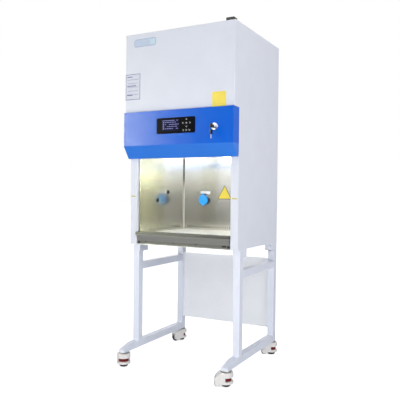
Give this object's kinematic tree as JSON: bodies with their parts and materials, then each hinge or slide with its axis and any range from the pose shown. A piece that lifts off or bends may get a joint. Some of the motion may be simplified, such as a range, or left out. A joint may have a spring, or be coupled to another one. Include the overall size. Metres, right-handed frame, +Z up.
{
  "type": "biosafety cabinet",
  "caption": "Class II biosafety cabinet with a sliding glass sash, stainless work chamber and control fascia, on an open tubular stand with levelling castors.",
  "frame": {"origin": "on the floor, under the middle of the whole outline", "axes": "+X to the operator's right, +Y towards the back, +Z up"},
  "size_m": [0.7527, 0.7287, 1.931],
  "materials": {
    "cabinet_white": "fine textured powder coat, semi-gloss",
    "fascia_blue": "orange-peel powder coat, gloss",
    "stand_white": "smooth powder coat, semi-gloss",
    "stainless": "brushed",
    "tray_steel": "brushed, bright",
    "zinc_steel": "zinc plated",
    "hardware": "plated",
    "guide_aluminium": "satin anodised",
    "blower_aluminium": "cast and spun, matt",
    "sash_glass": "clear",
    "lamp_glass": "frosted tube",
    "uv_glass": "clear tube",
    "panel_black": "gloss membrane",
    "screen": "lit display behind a clear window",
    "key_dark": "printed membrane keys",
    "lock_chrome": "polished",
    "key_black": "moulded key heads",
    "filter_media": "pleated glass-fibre paper in a rigid frame",
    "lid_blue": "moulded, translucent tint",
    "socket_grey": "moulded",
    "plug_white": "moulded",
    "inlet_black": "moulded",
    "castor_white": "moulded",
    "wheel_black": "moulded nylon",
    "dial_red": "moulded",
    "pad_black": "moulded"
  },
  "bodies": {
    "cabinet": {"side_panel_left": "cabinet_white", "side_panel_right": "cabinet_white", "back_panel": "cabinet_white", "top_panel": "cabinet_white", "base_pan": "zinc_steel", "upper_front_cover": "cabinet_white", "control_fascia": "fascia_blue", "display_panel": "panel_black", "display_screen": "screen", "key_lock": "lock_chrome", "chamber_liner": "stainless", "service_port_plugs": "plug_white", "diffuser_panel": "stainless", "work_tray": "tray_steel", "front_sill": "stainless", "sash_guides": "guide_aluminium", "socket_frame": "socket_grey", "led_lamp": "lamp_glass", "uv_lamp": "uv_glass", "lamp_holders": "plug_white", "supply_filter": "filter_media", "exhaust_filter": "filter_media", "plenum_box": "zinc_steel", "blower_housing": "zinc_steel", "blower_motor": "blower_aluminium", "exhaust_collar": "zinc_steel", "power_inlet": "inlet_black", "stand_frame_left": "stand_white", "stand_frame_right": "stand_white", "base_bolts": "hardware", "modesty_panel": "stand_white", "castor_mounts": "hardware"},
    "sash": {"sash_glass": "sash_glass"},
    "lock_key": {"lock_keys": "key_black"},
    "lid": {"socket_lid": "lid_blue"},
    "fan": {"impeller": "blower_aluminium"},
    "key_up": {"key_up": "key_dark"},
    "key_left": {"key_left": "key_dark"},
    "key_enter": {"key_enter": "key_dark"},
    "key_right": {"key_right": "key_dark"},
    "key_down": {"key_down": "key_dark"},
    "key_lamp": {"key_lamp": "key_dark"},
    "key_fan": {"key_fan": "key_dark"},
    "key_socket": {"key_socket": "key_dark"},
    "housing_fl": {"castor_housing_fl": "castor_white"},
    "wheel_fl": {"castor_wheel_fl": "wheel_black"},
    "dial_fl": {"castor_dial_fl": "dial_red"},
    "foot_fl": {"castor_foot_fl": "pad_black"},
    "housing_fr": {"castor_housing_fr": "castor_white"},
    "wheel_fr": {"castor_wheel_fr": "wheel_black"},
    "dial_fr": {"castor_dial_fr": "dial_red"},
    "foot_fr": {"castor_foot_fr": "pad_black"},
    "housing_rl": {"castor_housing_rl": "castor_white"},
    "wheel_rl": {"castor_wheel_rl": "wheel_black"},
    "dial_rl": {"castor_dial_rl": "dial_red"},
    "foot_rl": {"castor_foot_rl": "pad_black"},
    "housing_rr": {"castor_housing_rr": "castor_white"},
    "wheel_rr": {"castor_wheel_rr": "wheel_black"},
    "dial_rr": {"castor_dial_rr": "dial_red"},
    "foot_rr": {"castor_foot_rr": "pad_black"}
  },
  "joints": [
    {"name": "sash_slide", "type": "slide", "parent": "cabinet", "child": "sash", "axis": [0, 0, 1], "range_m": [-0.195, 0.17]},
    {"name": "lock_turn", "type": "hinge", "parent": "cabinet", "child": "lock_key", "pos_m": [0.241, -0.325, 1.356], "axis": [0, 1, 0], "range_deg": [0, 90]},
    {"name": "lid_hinge", "type": "hinge", "parent": "cabinet", "child": "lid", "pos_m": [-0.139, 0.273, 0.9955], "axis": [-1, 0, 0], "range_deg": [0, 100], "stiffness_Nm_per_rad": 0.05, "springref_deg": -20.05},
    {"name": "fan_spin", "type": "hinge", "parent": "cabinet", "child": "fan", "pos_m": [0, 0.24, 1.6225], "axis": [0, 1, 0], "continuous": true},
    {"name": "key_up_press", "type": "slide", "parent": "cabinet", "child": "key_up", "axis": [0, 1, 0], "range_m": [0, 0.0005], "stiffness_N_per_m": 1500},
    {"name": "key_left_press", "type": "slide", "parent": "cabinet", "child": "key_left", "axis": [0, 1, 0], "range_m": [0, 0.0005], "stiffness_N_per_m": 1500},
    {"name": "key_enter_press", "type": "slide", "parent": "cabinet", "child": "key_enter", "axis": [0, 1, 0], "range_m": [0, 0.0005], "stiffness_N_per_m": 1500},
    {"name": "key_right_press", "type": "slide", "parent": "cabinet", "child": "key_right", "axis": [0, 1, 0], "range_m": [0, 0.0005], "stiffness_N_per_m": 1500},
    {"name": "key_down_press", "type": "slide", "parent": "cabinet", "child": "key_down", "axis": [0, 1, 0], "range_m": [0, 0.0005], "stiffness_N_per_m": 1500},
    {"name": "key_lamp_press", "type": "slide", "parent": "cabinet", "child": "key_lamp", "axis": [0, 1, 0], "range_m": [0, 0.0005], "stiffness_N_per_m": 1500},
    {"name": "key_fan_press", "type": "slide", "parent": "cabinet", "child": "key_fan", "axis": [0, 1, 0], "range_m": [0, 0.0005], "stiffness_N_per_m": 1500},
    {"name": "key_socket_press", "type": "slide", "parent": "cabinet", "child": "key_socket", "axis": [0, 1, 0], "range_m": [0, 0.0005], "stiffness_N_per_m": 1500},
    {"name": "swivel_fl", "type": "hinge", "parent": "cabinet", "child": "housing_fl", "pos_m": [-0.329, -0.315, 0.072], "axis": [0, 0, 1], "continuous": true},
    {"name": "roll_fl", "type": "hinge", "parent": "housing_fl", "child": "wheel_fl", "pos_m": [-0.35548, -0.27986, 0.0195], "axis": [-0.7986, -0.6018, 0], "continuous": true},
    {"name": "dial_turn_fl", "type": "hinge", "parent": "housing_fl", "child": "dial_fl", "pos_m": [-0.329, -0.315, 0.0425], "axis": [0, 0, 1], "range_deg": [0, 2340]},
    {"name": "pad_drop_fl", "type": "slide", "parent": "housing_fl", "child": "foot_fl", "axis": [0, 0, -1], "range_m": [0, 0.013]},
    {"name": "swivel_fr", "type": "hinge", "parent": "cabinet", "child": "housing_fr", "pos_m": [0.329, -0.315, 0.072], "axis": [0, 0, 1], "continuous": true},
    {"name": "roll_fr", "type": "hinge", "parent": "housing_fr", "child": "wheel_fr", "pos_m": [0.28945, -0.33429, 0.0195], "axis": [0.4384, -0.8988, 0], "continuous": true},
    {"name": "dial_turn_fr", "type": "hinge", "parent": "housing_fr", "child": "dial_fr", "pos_m": [0.329, -0.315, 0.0425], "axis": [0, 0, 1], "range_deg": [0, 2340]},
    {"name": "pad_drop_fr", "type": "slide", "parent": "housing_fr", "child": "foot_fr", "axis": [0, 0, -1], "range_m": [0, 0.013]},
    {"name": "swivel_rl", "type": "hinge", "parent": "cabinet", "child": "housing_rl", "pos_m": [-0.329, 0.325, 0.072], "axis": [0, 0, 1], "continuous": true},
    {"name": "roll_rl", "type": "hinge", "parent": "housing_rl", "child": "wheel_rl", "pos_m": [-0.34829, 0.28545, 0.0195], "axis": [0.8988, -0.4384, 0], "continuous": true},
    {"name": "dial_turn_rl", "type": "hinge", "parent": "housing_rl", "child": "dial_rl", "pos_m": [-0.329, 0.325, 0.0425], "axis": [0, 0, 1], "range_deg": [0, 2340]},
    {"name": "pad_drop_rl", "type": "slide", "parent": "housing_rl", "child": "foot_rl", "axis": [0, 0, -1], "range_m": [0, 0.013]},
    {"name": "swivel_rr", "type": "hinge", "parent": "cabinet", "child": "housing_rr", "pos_m": [0.329, 0.325, 0.072], "axis": [0, 0, 1], "continuous": true},
    {"name": "roll_rr", "type": "hinge", "parent": "housing_rr", "child": "wheel_rr", "pos_m": [0.28945, 0.30571, 0.0195], "axis": [0.4384, -0.8988, 0], "continuous": true},
    {"name": "dial_turn_rr", "type": "hinge", "parent": "housing_rr", "child": "dial_rr", "pos_m": [0.329, 0.325, 0.0425], "axis": [0, 0, 1], "range_deg": [0, 2340]},
    {"name": "pad_drop_rr", "type": "slide", "parent": "housing_rr", "child": "foot_rr", "axis": [0, 0, -1], "range_m": [0, 0.013]}
  ],
  "couplings": [
    {"joint": "pad_drop_fl", "follows": "dial_turn_fl", "m_per_rad": 0.0003183},
    {"joint": "pad_drop_fr", "follows": "dial_turn_fr", "m_per_rad": 0.0003183},
    {"joint": "pad_drop_rl", "follows": "dial_turn_rl", "m_per_rad": 0.0003183},
    {"joint": "pad_drop_rr", "follows": "dial_turn_rr", "m_per_rad": 0.0003183}
  ]
}
